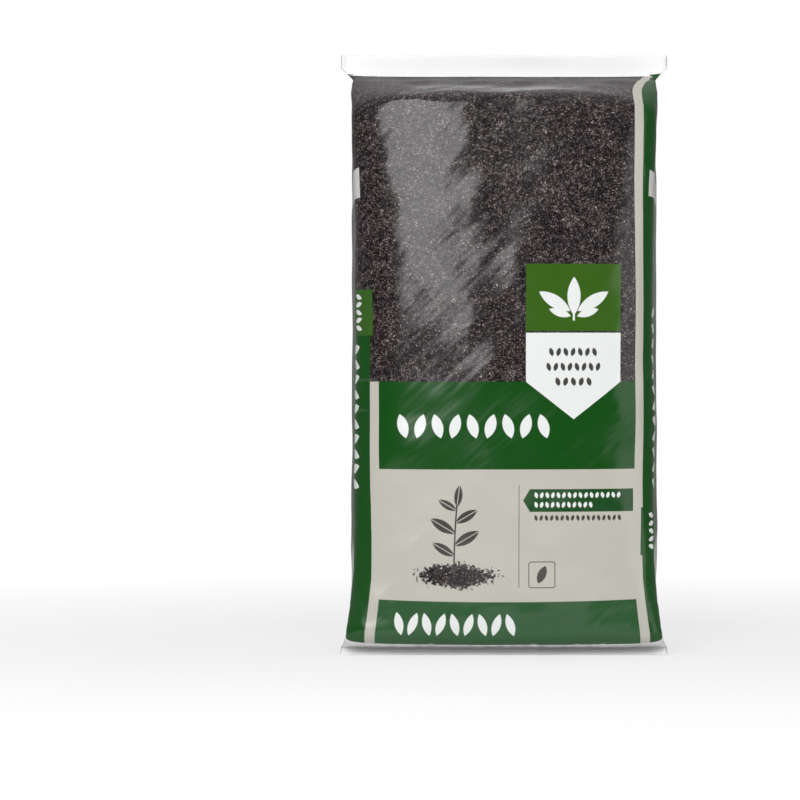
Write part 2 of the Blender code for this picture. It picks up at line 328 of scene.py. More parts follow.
class FilledForm:
    """The shape that the filling gives the bag, lofted through five guide rails on each side."""

    WAIST_SQUARENESS = 2.35
    SEAL_SQUARENESS = 4.5
    TOP_CLOSING = 2.5
    BOTTOM_CLOSING = 4
    SECTION_STEPS = 96

    def __init__(self, sizes: BagSizes, grid: FilmGrid) -> None:
        """Sets out the seals and the rails.

        Args:
            sizes: the bag's sizes.
            grid: the film's grid.
        """
        self.sizes = sizes
        self.grid = grid
        pitch = sizes.bottom_pitch
        self.bottom_along = np.array([0.0, cos(pitch), sin(pitch)])
        rise = sizes.bottom_clearance + cos(pitch) * sizes.film_stack / 2 + sin(pitch) * sizes.bottom_seal
        self.bottom_root = np.array([0.0, -sizes.bottom_forward, rise])
        self.top_along = np.array([0.0, 0.0, 1.0])
        self.top_root = np.array([0.0, sizes.set_back, sizes.height - sizes.top_seal])
        self.front = self.front_rail()
        self.back = self.back_rail()
        self.front_fold = self.front_fold_rail()
        self.back_fold = self.back_fold_rail()
        self.crease = self.crease_rail()

    def face(self, root: np.ndarray, along: np.ndarray, front: bool) -> np.ndarray:
        """Finds where a panel leaves a seal.

        Args:
            root: the middle of the seal's root.
            along: the way up the tube through the seal.
            front: whether it is the front panel.

        Returns:
            The point at mid width.
        """
        across = np.array([0.0, -along[2], along[1]]) * self.sizes.film_stack / 2
        return root + across if front else root - across

    def waist(self, x: float, y: float) -> list[tuple[float, float, float, float]]:
        """The upright stretch of a rail at mid height.

        Args:
            x: mm to the right of the bag's middle.
            y: mm behind it.

        Returns:
            The stretch's two corners.
        """
        middle = (self.top_root[2] + self.sizes.edge_lift) / 2
        half = self.sizes.waist_length / 2
        return [(x, y, middle - half, self.sizes.waist_round), (x, y, middle + half, self.sizes.waist_round)]

    def shoulder(self, side: int) -> list[tuple[float, float, float, float]]:
        """The break of the shoulder and the neck under the top seal, at mid width.

        Args:
            side: -1 for the front and 1 for the back.

        Returns:
            The two corners, from the break upward.
        """
        sizes = self.sizes
        depth = sizes.depth / 2 - sizes.shoulder_taper
        neck_height = self.top_root[2] - sizes.neck
        drop = (depth - side * sizes.set_back) * tan(sizes.slope)
        neck_depth = sizes.set_back + side * (sizes.neck_spread + sizes.film_stack / 2)
        return [
            (0.0, side * depth, neck_height - drop, sizes.shoulder_round),
            (0.0, neck_depth, neck_height, sizes.neck_round),
        ]

    def front_rail(self) -> Rail:
        """Up the centre of the front.

        Returns:
            The rail.
        """
        sizes = self.sizes
        start = self.face(self.bottom_root, self.bottom_along, True)
        end = self.face(self.top_root, self.top_along, True)
        edge = (0.0, sizes.edge_taper - sizes.depth / 2, sizes.edge_lift, sizes.edge_round)
        rise = [*self.waist(0.0, -sizes.depth / 2), *self.shoulder(-1)]
        return Rail([(*start, 0.0), edge, *rise, (*end, 0.0)])

    def back_rail(self) -> Rail:
        """Along the base and up the centre of the back.

        Returns:
            The rail.
        """
        sizes = self.sizes
        start = self.face(self.bottom_root, self.bottom_along, False)
        end = self.face(self.top_root, self.top_along, False)
        base = [
            (0.0, start[1] + 3 * sizes.sag, -sizes.sag, 2 * sizes.sag),
            (0.0, sizes.depth / 2 - sizes.heel_taper, -sizes.sag, sizes.heel_round),
        ]
        rise = [*self.waist(0.0, sizes.depth / 2), *self.shoulder(1)]
        return Rail([(*start, 0.0), *base, *rise, (*end, 0.0)])

    def upper_fold(self, side: int) -> list[tuple[float, float, float, float]]:
        """A fold from the waist to the top seal's end.

        Args:
            side: -1 for the front fold and 1 for the back fold.

        Returns:
            Its corners.
        """
        sizes = self.sizes
        end = self.face(self.top_root, self.top_along, side < 0)
        break_height = self.top_root[2] - sizes.shoulder_drop
        ear_height = self.top_root[2] - sizes.ear_drop
        return [
            *self.waist(sizes.waist / 2 - sizes.gusset_bulge, side * sizes.gusset),
            (sizes.shoulder / 2, side * sizes.gusset, break_height, sizes.fold_round),
            (sizes.shoulder / 2, end[1] + side * sizes.ear_spread, ear_height, sizes.ear_round),
            (sizes.flat_width / 2, end[1], end[2], 0.0),
        ]

    def front_fold_rail(self) -> Rail:
        """Up the front fold of the right gusset.

        Returns:
            The rail.
        """
        sizes = self.sizes
        start = self.face(self.bottom_root, self.bottom_along, True)
        end_x = sizes.flat_width / 2 - sizes.bottom_draw
        corner = (end_x - sizes.front_corner_in, sizes.front_corner_back - sizes.depth / 2)
        foot = [
            (end_x, start[1], start[2], 0.0),
            (*corner, sizes.front_corner_height, sizes.front_corner_round),
            (sizes.foot / 2 - sizes.gusset_bulge, sizes.front_foot, sizes.bottom_tuck, sizes.tuck_round),
        ]
        return Rail(foot + self.upper_fold(-1))

    def back_fold_rail(self) -> Rail:
        """Up the back fold of the right gusset.

        Returns:
            The rail.
        """
        sizes = self.sizes
        start = self.face(self.bottom_root, self.bottom_along, False)
        end_x = sizes.flat_width / 2 - sizes.bottom_draw
        foot = [
            (end_x, start[1], start[2], 0.0),
            (end_x - sizes.heel_fold_in, *sizes.heel_fold_low, sizes.heel_fold_round),
            (end_x - sizes.heel_fold_in, *sizes.heel_fold_high, sizes.heel_fold_round),
            (sizes.foot / 2 - sizes.gusset_bulge, sizes.back_foot, sizes.bottom_tuck, sizes.tuck_round),
        ]
        return Rail(foot + self.upper_fold(1))

    def crease_rail(self) -> Rail:
        """Up the crease of the right gusset, which runs inward to a tuck at each end.

        Returns:
            The rail.
        """
        sizes = self.sizes
        tucked = sizes.flat_width / 2 - sizes.gusset
        top = self.top_root[2] - sizes.top_tuck
        return Rail(
            [
                (tucked - sizes.bottom_draw, *self.bottom_root[1:], 0.0),
                (sizes.foot / 2, sizes.crease_foot, sizes.bottom_tuck, sizes.crease_round),
                *self.waist(sizes.waist / 2, 0.0),
                (sizes.shoulder / 2, 0.0, top, sizes.crease_round),
                (tucked, *self.top_root[1:], 0.0),
            ]
        )

    def panel(self, centre: np.ndarray, fold: np.ndarray, squareness: float) -> np.ndarray:
        """Half of a panel's section.

        Args:
            centre: the section's point at mid width.
            fold: its point on the fold.
            squareness: 2 for an ellipse, and more for a squarer section.

        Returns:
            Evenly spaced points from the centre to the fold.
        """
        angle = np.linspace(0.0, pi / 2, self.SECTION_STEPS + 1)
        full = np.maximum(np.cos(angle), 0.0) ** (2 / squareness)
        points = fold + (centre - fold) * full[:, None]
        points[:, 0] = fold[0] * np.sin(angle) ** (2 / squareness)
        reach = np.concatenate([[0.0], np.cumsum(np.linalg.norm(np.diff(points, axis=0), axis=1))])
        even = np.linspace(0.0, reach[-1], self.grid.panel_columns // 2 + 1)
        return np.stack([np.interp(even, reach, points[:, k]) for k in range(3)], -1)

    def ring(self, share: float) -> np.ndarray:
        """One row of the film's grid, closed round the tube.

        Args:
            share: the row's share of the rails.

        Returns:
            Its points, from the left front fold round the front, the right side and the back.
        """
        closing = abs(2 * share - 1) ** (self.TOP_CLOSING if share > 0.5 else self.BOTTOM_CLOSING)
        squareness = self.WAIST_SQUARENESS + (self.SEAL_SQUARENESS - self.WAIST_SQUARENESS) * closing
        front_fold, back_fold = self.front_fold.at(share), self.back_fold.at(share)
        crease = self.crease.at(share)
        parts = np.linspace(0.0, 1.0, self.grid.gusset_columns // 2 + 1)[:, None]
        front = self.panel(self.front.at(share), front_fold, squareness)
        back = self.panel(self.back.at(share), back_fold, squareness)
        inward = front_fold + (crease - front_fold) * parts
        outward = crease + (back_fold - crease) * parts
        half = np.vstack([front, inward[1:-1], outward[:-1], back[::-1]])
        mirrored = half[1:-1][::-1] * np.array([-1.0, 1.0, 1.0])
        return np.roll(np.vstack([half, mirrored]), self.grid.panel_columns // 2, axis=0)

    def points(self) -> np.ndarray:
        """Every row from root to root, with the base pressed flat on the floor.

        Returns:
            Rows, columns and x, y, z.
        """
        points = np.array([self.ring(share) for share in self.grid.shares])
        points[..., 2] = np.maximum(points[..., 2], 0.0)
        return points


def surface_normals(points: np.ndarray) -> np.ndarray:
    """The outward directions of a film grid.

    Args:
        points: rows, columns and x, y, z.

    Returns:
        Unit vectors in the same layout.
    """
    around = np.roll(points, -1, 1) - np.roll(points, 1, 1)
    along = np.empty_like(points)
    along[1:-1] = points[2:] - points[:-2]
    along[0], along[-1] = points[1] - points[0], points[-1] - points[-2]
    normals = np.cross(around, along)
    return normals / (np.linalg.norm(normals, axis=2, keepdims=True) + 1e-9)


def soft_noise(shape: tuple[int, int], waves: tuple[float, float], seed: int) -> np.ndarray:
    """Smooth noise over a film grid, which joins up round the tube.

    Args:
        shape: rows and columns.
        waves: about how many waves fit along the rows and the columns.
        seed: picks the pattern.

    Returns:
        Noise with a spread of 1.
    """
    white = np.random.default_rng(seed).standard_normal(shape)
    rows = np.fft.fftfreq(shape[0])[:, None] * shape[0]
    columns = np.fft.fftfreq(shape[1])[None] * shape[1]
    keep = np.exp(-((rows / waves[0]) ** 2 + (columns / waves[1]) ** 2))
    noise = np.real(np.fft.ifft2(np.fft.fft2(white) * keep))
    return noise / noise.std()


@dataclass
class FilmSolver:
    """Lays a slightly larger film over the filled form, link by link.

    The film resists stretch fully and compression weakly, so what it has too much of gathers into
    folds. The lumpy filling keeps it from going in, and its own hang keeps it near the filling.
    Reaches, the hang and its peak are mm along the film from the nearer seal.
    """

    form: FilledForm
    steps: int = 120
    passes: int = 6
    push: float = 0.03
    keep_speed: float = 0.9
    stretch: float = 1.0
    squeeze: float = 0.35
    bend: float = 0.03
    lump_heights: tuple[float, float] = (0.5, 0.2)
    lump_waves: tuple[float, float] = (9.0, 20.0)
    seed: int = 5
    fade_rows: int = 12
    ripple_waves: float = 40.0
    slack_around: float = 0.003
    slack_at_seals: float = 0.006
    seal_reach: float = 70.0
    slack_along: float = 0.004
    slack_at_tucks: float = 0.05
    tuck_reach: float = 150.0
    tuck_width: float = 2.4
    most_gathered: float = 1.015
    hang: float = 1.2
    hang_at_seals: float = 1.5
    hang_peak: float = 45.0
    hang_reach: float = 50.0
    hang_ramp: float = 40.0
    least_hang: float = 0.15
    least_hold: float = 0.2
    hold_reach: float = 45.0
    links: list = field(default_factory=list)

    def seal_distance(self) -> np.ndarray:
        """Each row's distance along the film to the nearer seal, in mm."""
        shares = self.form.grid.shares
        return np.minimum(shares, 1 - shares) * self.form.front.length

    def row_slack(self, points: np.ndarray) -> np.ndarray:
        """How much longer each row of the film is than the form under it.

        Args:
            points: the form.

        Returns:
            A factor for each row.
        """
        length = np.linalg.norm(np.roll(points, -1, 1) - points, axis=2).sum(1)
        near = np.exp(-((self.seal_distance() / self.seal_reach) ** 2))
        flat = np.clip(self.form.grid.girth / length, 1.0, self.most_gathered)
        return flat * (1 + self.slack_around + self.slack_at_seals * near)

    def column_slack(self) -> np.ndarray:
        """How much longer the film is along each column than the form under it.

        Returns:
            A share of the length, by row and column.
        """
        grid, sizes = self.form.grid, self.form.sizes
        around = grid.around
        creases = (sizes.flat_width + sizes.gusset, 2 * sizes.flat_width + 3 * sizes.gusset)
        to_crease = np.minimum(abs(around - creases[0]), abs(around - creases[1]))
        side = np.clip(1 - to_crease / (self.tuck_width * sizes.gusset), 0, 1)
        near = np.exp(-((self.seal_distance() / self.tuck_reach) ** 2))
        return self.slack_along + self.slack_at_tucks * near[:, None] * side[None]

    def set_links(self, points: np.ndarray) -> None:
        """Works out the rest length of each link, in groups that share no point.

        Args:
            points: the form.
        """
        rows, columns, _ = points.shape
        index = np.arange(rows * columns).reshape(rows, columns)
        flat = points.reshape(-1, 3)
        wide = self.row_slack(points)
        tall = self.column_slack()

        def add(kind: LinkKind, start: np.ndarray, end: np.ndarray) -> None:
            """Adds one group of links.

            Args:
                kind: how they run.
                start: the points that they start from.
                end: the points that they end at.
            """
            start, end = start.ravel(), end.ravel()
            row, column = np.divmod(start, columns)
            rest = np.linalg.norm(flat[start] - flat[end], axis=1)
            if kind in (LinkKind.AROUND, LinkKind.BEND):
                rest = rest * wide[row]
            elif kind is LinkKind.ALONG:
                rest = rest * (1 + tall[row, column])
            else:
                rest = rest * (1 + (wide[row] - 1) / 2 + tall[row, column] / 2)
            self.links.append((kind, start, end, rest))

        for parity in (0, 1):
            lower = index[parity:-1:2]
            upper = index[parity + 1 :: 2][: len(lower)]
            add(LinkKind.AROUND, index[:, parity::2], np.roll(index, -1, 1)[:, parity::2])
            add(LinkKind.ALONG, lower, upper)
            add(LinkKind.DIAGONAL, lower, np.roll(upper, -1, 1))
            add(LinkKind.DIAGONAL, lower, np.roll(upper, 1, 1))
            for offset in (parity, parity + 2):
                add(LinkKind.BEND, index[:, offset::4], np.roll(index, -2, 1)[:, offset::4])

    def pull(self, flat: np.ndarray) -> None:
        """Moves the points once along every link, towards its rest length.

        Args:
            flat: the points, changed in place.
        """
        firmness = {
            LinkKind.AROUND: (self.stretch, self.squeeze),
            LinkKind.ALONG: (self.stretch, self.squeeze),
            LinkKind.DIAGONAL: (self.stretch * 0.5, self.squeeze * 0.3),
            LinkKind.BEND: (0.0, self.bend),
        }
        for kind, start, end, rest in self.links:
            gap = flat[end] - flat[start]
            length = np.sqrt((gap * gap).sum(1)) + 1e-9
            strain = (length - rest) / length
            stiff, soft = firmness[kind]
            move = gap * (strain * np.where(strain > 0, stiff, soft) * 0.5)[:, None]
            flat[start] += move
            flat[end] -= move

    def run(self) -> np.ndarray:
        """Relaxes the film.

        Returns:
            Its points, from root to root.
        """
        form = self.form.points()
        outward = surface_normals(form)
        rows, columns, _ = form.shape
        from_end = np.minimum(np.arange(rows), rows - 1 - np.arange(rows))
        fade = np.clip(from_end / self.fade_rows, 0, 1)[:, None]
        lumps = np.zeros((rows, columns))
        for height, waves in zip(self.lump_heights, self.lump_waves):
            lumps += soft_noise((rows, columns), (waves, waves), self.seed) * height * fade
        lumps[form[..., 2] < 0.5] = 0.0
        core = form + outward * lumps[..., None]
        core[..., 2] = np.maximum(core[..., 2], 0.0)
        self.set_links(form)
        distance = self.seal_distance()
        near = np.exp(-(((distance - self.hang_peak) / self.hang_reach) ** 2))
        ramp = np.clip(distance / self.hang_ramp, self.least_hang, 1.0)
        limit = ((self.hang + self.hang_at_seals * near) * ramp)[:, None]
        ripple = soft_noise((rows, columns), (self.ripple_waves,) * 2, self.seed + 1) * fade
        points = core + surface_normals(core) * ripple[..., None]
        points[0], points[-1] = core[0], core[-1]
        before = points.copy()
        for _ in range(self.steps):
            speed = (points - before) * self.keep_speed
            before = points.copy()
            points = points + speed + surface_normals(points) * (self.push * fade)[..., None]
            for _ in range(self.passes):
                self.pull(points.reshape(-1, 3))
                height = ((points - core) * outward).sum(2)
                points += outward * (np.clip(-height, 0, None) * 0.5)[..., None]
                points -= outward * (np.clip(height - limit, 0, None) * 0.5)[..., None]
                points[..., 2] = np.maximum(points[..., 2], 0.0)
                points[0], points[-1] = core[0], core[-1]
        away = smooth_step(distance, 0.0, self.hold_reach)
        hold = self.least_hold + (1 - self.least_hold) * away
        return core + (points - core) * hold[:, None, None]


def refined(grid: np.ndarray) -> np.ndarray:
    """Doubles a grid's rows and columns with a smooth line through the points that it has.

    Args:
        grid: rows, columns that close round the tube, and any values last.

    Returns:
        The finer grid.
    """
    around = np.empty((grid.shape[0], grid.shape[1] * 2, *grid.shape[2:]))
    around[:, ::2] = grid
    near = grid + np.roll(grid, -1, 1)
    far = np.roll(grid, 1, 1) + np.roll(grid, -2, 1)
    around[:, 1::2] = (9 * near - far) / 16
    padded = np.concatenate([2 * around[:1] - around[1:2], around, 2 * around[-1:] - around[-2:-1]])
    along = np.empty((2 * len(around) - 1, *around.shape[1:]))
    along[::2] = around
    along[1::2] = (9 * (padded[1:-2] + padded[2:-1]) - (padded[:-3] + padded[3:])) / 16
    return along


def smooth_step(value: np.ndarray, low: float, high: float) -> np.ndarray:
    """Rises gently from 0 at low to 1 at high."""
    part = np.clip((value - low) / (high - low), 0.0, 1.0)
    return part * part * (3 - 2 * part)


@dataclass
class BagFilm:
    """The bag's film from cut edge to cut edge: the tube over the filling and the flat seal at each end."""

    form: FilledForm
    solver: FilmSolver
    seal_rows: int = 5
    sway: float = 1.0
    root_height: float = -22.0
    smile: tuple[tuple[float, ...], ...] = ((17.0, 62.0, 150.0), (8.0, 4.7, 0.0))
    half_front: float = 185.0
    shoulder_rise: tuple[float, float] = (480.0, 655.0)
    front_rise: tuple[float, float] = (14.0, 60.0)
    sway_lengths: tuple[float, float] = (31.0, 17.0)

    def print_heights(self, points: np.ndarray) -> np.ndarray:
        """The height of each point of the film on the print, in mm.

        The print runs level round the standing bag. Over the shoulders, and where the front turns
        under, it keeps its length along the film.

        Args:
            points: the form, before the film is relaxed.

        Returns:
            The heights, by row and column.
        """
        grid = self.form.grid
        heights, depths = points[..., 2], self.smile[1]
        dip = np.interp(heights, self.smile[0], depths)
        level = heights - dip * (points[..., 0] / self.half_front) ** 2
        centre = heights[:, grid.panel_columns // 2]
        along = (grid.shares * self.form.front.length + self.root_height)[:, None]
        front = np.zeros(grid.columns)
        front[: grid.panel_columns + 1] = 1.0
        fade = np.linspace(1.0, 0.0, grid.gusset_columns + 1)
        front[grid.panel_columns : grid.panel_columns + grid.gusset_columns + 1] = fade
        front[-grid.gusset_columns :] = fade[::-1][:-1]
        top = smooth_step(centre, *self.shoulder_rise)[:, None]
        under = (1 - smooth_step(centre, *self.front_rise))[:, None] * front[None]
        under[grid.shares > 0.5] = 0.0
        share = np.maximum(top, under)
        return level * (1 - share) + along * share

    def seal(self, root: np.ndarray, along: np.ndarray, length: float, lift: float) -> np.ndarray:
        """The rows of a flat seal, from next to its root to the cut edge.

        Args:
            root: the row of the tube that it starts from.
            along: the direction from the root to the cut edge.
            length: its length in mm.
            lift: how far the waves of the cut edge may stand out, in mm.

        Returns:
            The rows, outward.
        """
        parts = np.arange(1, self.seal_rows + 1) / self.seal_rows
        across = np.array([0.0, -along[2], along[1]])
        x = root[:, 0]
        long, short = self.sway_lengths
        wave = 0.6 * np.sin(x / long + 1.0) + 0.4 * np.sin(x / short)
        rows = []
        for part in parts:
            rows.append(root + along * length * part + across * (wave * lift * part**1.5)[:, None])
        return np.array(rows)

    def points(self) -> tuple[np.ndarray, np.ndarray]:
        """Relaxes the film and adds the seals.

        Returns:
            The points, and their heights on the print.
        """
        sizes, form = self.form.sizes, self.form
        shape = form.points()
        film = refined(self.solver.run())
        film[..., 2] = np.maximum(film[..., 2], 0.0)
        heights = refined(self.print_heights(shape))
        top = self.seal(film[-1], form.top_along, sizes.top_seal, self.sway)
        bottom = self.seal(film[0], -form.bottom_along, sizes.bottom_seal, 0.0)
        parts = np.arange(1, self.seal_rows + 1)[:, None] / self.seal_rows
        above = heights[-1] + sizes.top_seal * parts
        below = heights[0] - sizes.bottom_seal * parts
        return np.concatenate([bottom[::-1], film, top]), np.concatenate([below[::-1], heights, above])

    def faces(self, rows: int, columns: int) -> tuple[np.ndarray, np.ndarray]:
        """The faces of the tube and of the cut edges that close it.

        Args:
            rows: rows of the finer grid.
            columns: its columns.

        Returns:
            The corners of each face, and the column at which each corner's print is read.
        """
        column = np.arange(columns)
        lower = (np.arange(rows - 1) * columns)[:, None]
        after = (column + 1) % columns
        quads = np.stack(
            [lower + column, lower + after, lower + columns + after, lower + columns + column], -1
        ).reshape(-1, 4)
        ends = np.stack([column, column + 1, column + 1, column], -1)
        ends = np.tile(ends, (rows - 1, 1))
        panel = np.arange(2 * self.form.grid.panel_columns)
        opposite = 2 * (2 * self.form.grid.panel_columns + self.form.grid.gusset_columns) - panel
        lid = np.stack([panel, panel + 1, opposite - 1, opposite], -1)
        top = (rows - 1) * columns
        faces = np.concatenate([quads, lid + top, lid[:, ::-1]])
        strip = np.stack([panel, panel + 1, panel + 1, panel], -1)
        return faces, np.concatenate([ends, strip, strip[:, ::-1]])

    def build(self, name: str, material: bpy.types.Material) -> bpy.types.Object:
        """Makes the film's object, with the print's map on it.

        Args:
            name: the object's name.
            material: the printed film.

        Returns:
            The object.
        """
        points, heights = self.points()
        rows, columns, _ = points.shape
        grid = self.form.grid
        around = np.interp(
            np.arange(columns + 1) / 2, np.arange(grid.columns + 1), np.append(grid.around, grid.girth)
        )
        faces, read = self.faces(rows, columns)
        mesh = bpy.data.meshes.new(name)
        mesh.from_pydata((points.reshape(-1, 3) * M_PER_MM).tolist(), [], faces.tolist())
        mesh.update()
        seam = 2 * (2 * grid.panel_columns + grid.gusset_columns)
        wrapped = np.min(read, axis=1, keepdims=True) >= seam
        across = around[read] - np.where(wrapped, grid.girth, 0.0)
        upward = heights.reshape(-1)[faces]
        layer = mesh.uv_layers.new(name="film")
        both = np.stack([across, upward], -1) * M_PER_MM
        layer.data.foreach_set("uv", both.reshape(-1).astype(np.float32))
        mesh.polygons.foreach_set("use_smooth", np.ones(len(faces), bool))
        bag = bpy.data.objects.new(name, mesh)
        bpy.context.collection.objects.link(bag)
        bag.data.materials.append(material)
        return bag


class Ink(Enum):
    """The inks of the print, as sRGB hex, and a grey of painted shade for the film under the base."""

    FILM_WHITE = "FAFAFA"
    # Painted shade: a grey for the white film under the front edge and on the bottom seal, where the base
    # turns down into shadow.
    UNDERSIDE_PAINTED_SHADE = "E4E4E4"
    BEIGE = "BDBAB0"
    BAND_GREEN = "0A490C"
    # The lower band's own green, made paler to stand in for the film's sheen there: partly painted sheen.
    LOWER_GREEN_AND_SHEEN = "2C5630"
    SIDE_GREEN = "104914"
    LABEL_GREEN = "365E15"
    TAG_GREEN = "355C20"
    BANNER_GREEN = "15471A"
    LETTER_WHITE = "E5E8E6"
    BOX_WHITE = "CDCDCC"
    DRAWING = "45413E"
    RULE = "77756C"


class Plate:
    """Prints shapes over a ground colour, in mm on the film. The edges blur over part of a mm."""

    EDGE = 0.6

    def __init__(self, tree: bpy.types.NodeTree, x: Value, y: Value, ground: bpy.types.NodeSocket) -> None:
        """Starts with the ground.

        Args:
            tree: the material's node tree.
            x: mm round the tube.
            y: mm up the print.
            ground: the colour under the shapes.
        """
        self.tree = tree
        self.x = x
        self.y = y
        self.ground = ground
        self.colour = ground

    def paint(self, mask: Value, ink: Ink | bpy.types.NodeSocket) -> None:
        """Prints an ink, or a picture, where the mask is 1.

        Args:
            mask: 0 to 1.
            ink: the ink, or the colour socket of a picture.
        """
        inputs = {0: mask, 6: self.colour, 7: linear(ink.value) if isinstance(ink, Ink) else ink}
        node = add_node(self.tree, "ShaderNodeMix", inputs, data_type="RGBA")
        self.colour = node.outputs[2]

    def filled(self, distance: Value) -> Value:
        """Turns a distance outside a shape into its mask.

        Args:
            distance: mm outside the outline, negative inside it.

        Returns:
            The mask.
        """
        return (distance * (-1 / self.EDGE)).math("ADD", 0.5, clamp=True)

    def box_distance(
        self, left: float, right: float, low: float, high: float, rounding: float = 0.0
    ) -> Value:
        """The distance outside an upright rectangle.

        Args:
            left: mm round the tube.
            right: mm round the tube.
            low: mm up the print.
            high: mm up the print.
            rounding: the radius of its corners.

        Returns:
            The distance in mm.
        """
        across = abs(self.x - (left + right) / 2) - ((right - left) / 2 - rounding)
        upward = abs(self.y - (low + high) / 2) - ((high - low) / 2 - rounding)
        if not rounding:
            return across.over(upward)
        across, upward = across.over(0.0), upward.over(0.0)
        return (across * across + upward * upward).math("SQRT") - rounding

    def box(self, left: float, right: float, low: float, high: float, rounding: float = 0.0) -> Value:
        """The mask of an upright rectangle, with the same arguments as its distance."""
        return self.filled(self.box_distance(left, right, low, high, rounding))

    def frame(
        self, left: float, right: float, low: float, high: float, rounding: float, line: float
    ) -> Value:
        """The mask of a rounded outline.

        Args:
            left: mm round the tube.
            right: mm round the tube.
            low: mm up the print.
            high: mm up the print.
            rounding: the radius of its corners.
            line: the width of the line.

        Returns:
            The mask.
        """
        return self.filled(abs(self.box_distance(left, right, low, high, rounding)) - line / 2)

    def leaf(self, x: Value, y: Value, length: float, width: float, lean: float = 0.0) -> Value:
        """The mask of a pointed leaf about the origin of the given coordinates.

        Args:
            x: mm to the right of its middle.
            y: mm above its middle.
            length: tip to tip.
            width: across the middle.
            lean: how far it leans to the right, in degrees.

        Returns:
            The mask.
        """
        turn = radians(lean)
        upward = x * sin(turn) + y * cos(turn)
        across = x * cos(turn) - y * sin(turn)
        radius = (length**2 + width**2) / (4 * width)
        across = abs(across) + (radius - width / 2)
        return self.filled((upward * upward + across * across).math("SQRT") - radius)

    def leaf_row(self, left: float, right: float, low: float, high: float, count: int) -> Value:
        """The mask of a row of leaves that lean to and fro.

        Args:
            left: where the row starts.
            right: where it ends.
            low: its foot.
            high: its top.
            count: how many leaves.

        Returns:
            The mask.
        """
        pitch = (right - left) / count
        place = (self.x - left) * (1 / pitch)
        within = (place.math("FRACT") - 0.5) * pitch
        side = (place * 0.5).math("FRACT").math("GREATER_THAN", 0.5) * 2.0 - 1.0
        height = self.y - (low + high) / 2
        shape = self.leaf(within * side, height, (high - low) * 1.02, pitch * 0.62, 16.0)
        return shape.under(self.box(left, right, low - 2, high + 2))

    def leaf_column(self, middle: float, width: float, low: float, high: float, count: int) -> Value:
        """The mask of a column of leaves that lean to and fro.

        Args:
            middle: its middle, in mm round the tube.
            width: how wide the column is.
            low: where it starts.
            high: where it ends.
            count: how many leaves.

        Returns:
            The mask.
        """
        pitch = (high - low) / count
        place = (self.y - low) * (1 / pitch)
        within = (place.math("FRACT") - 0.5) * pitch
        side = (place * 0.5).math("FRACT").math("GREATER_THAN", 0.5) * 2.0 - 1.0
        across = self.x - middle
        shape = self.leaf(across, within * side, width, pitch * 0.62, 74.0)
        return shape.under(self.box(middle - width, middle + width, low, high))


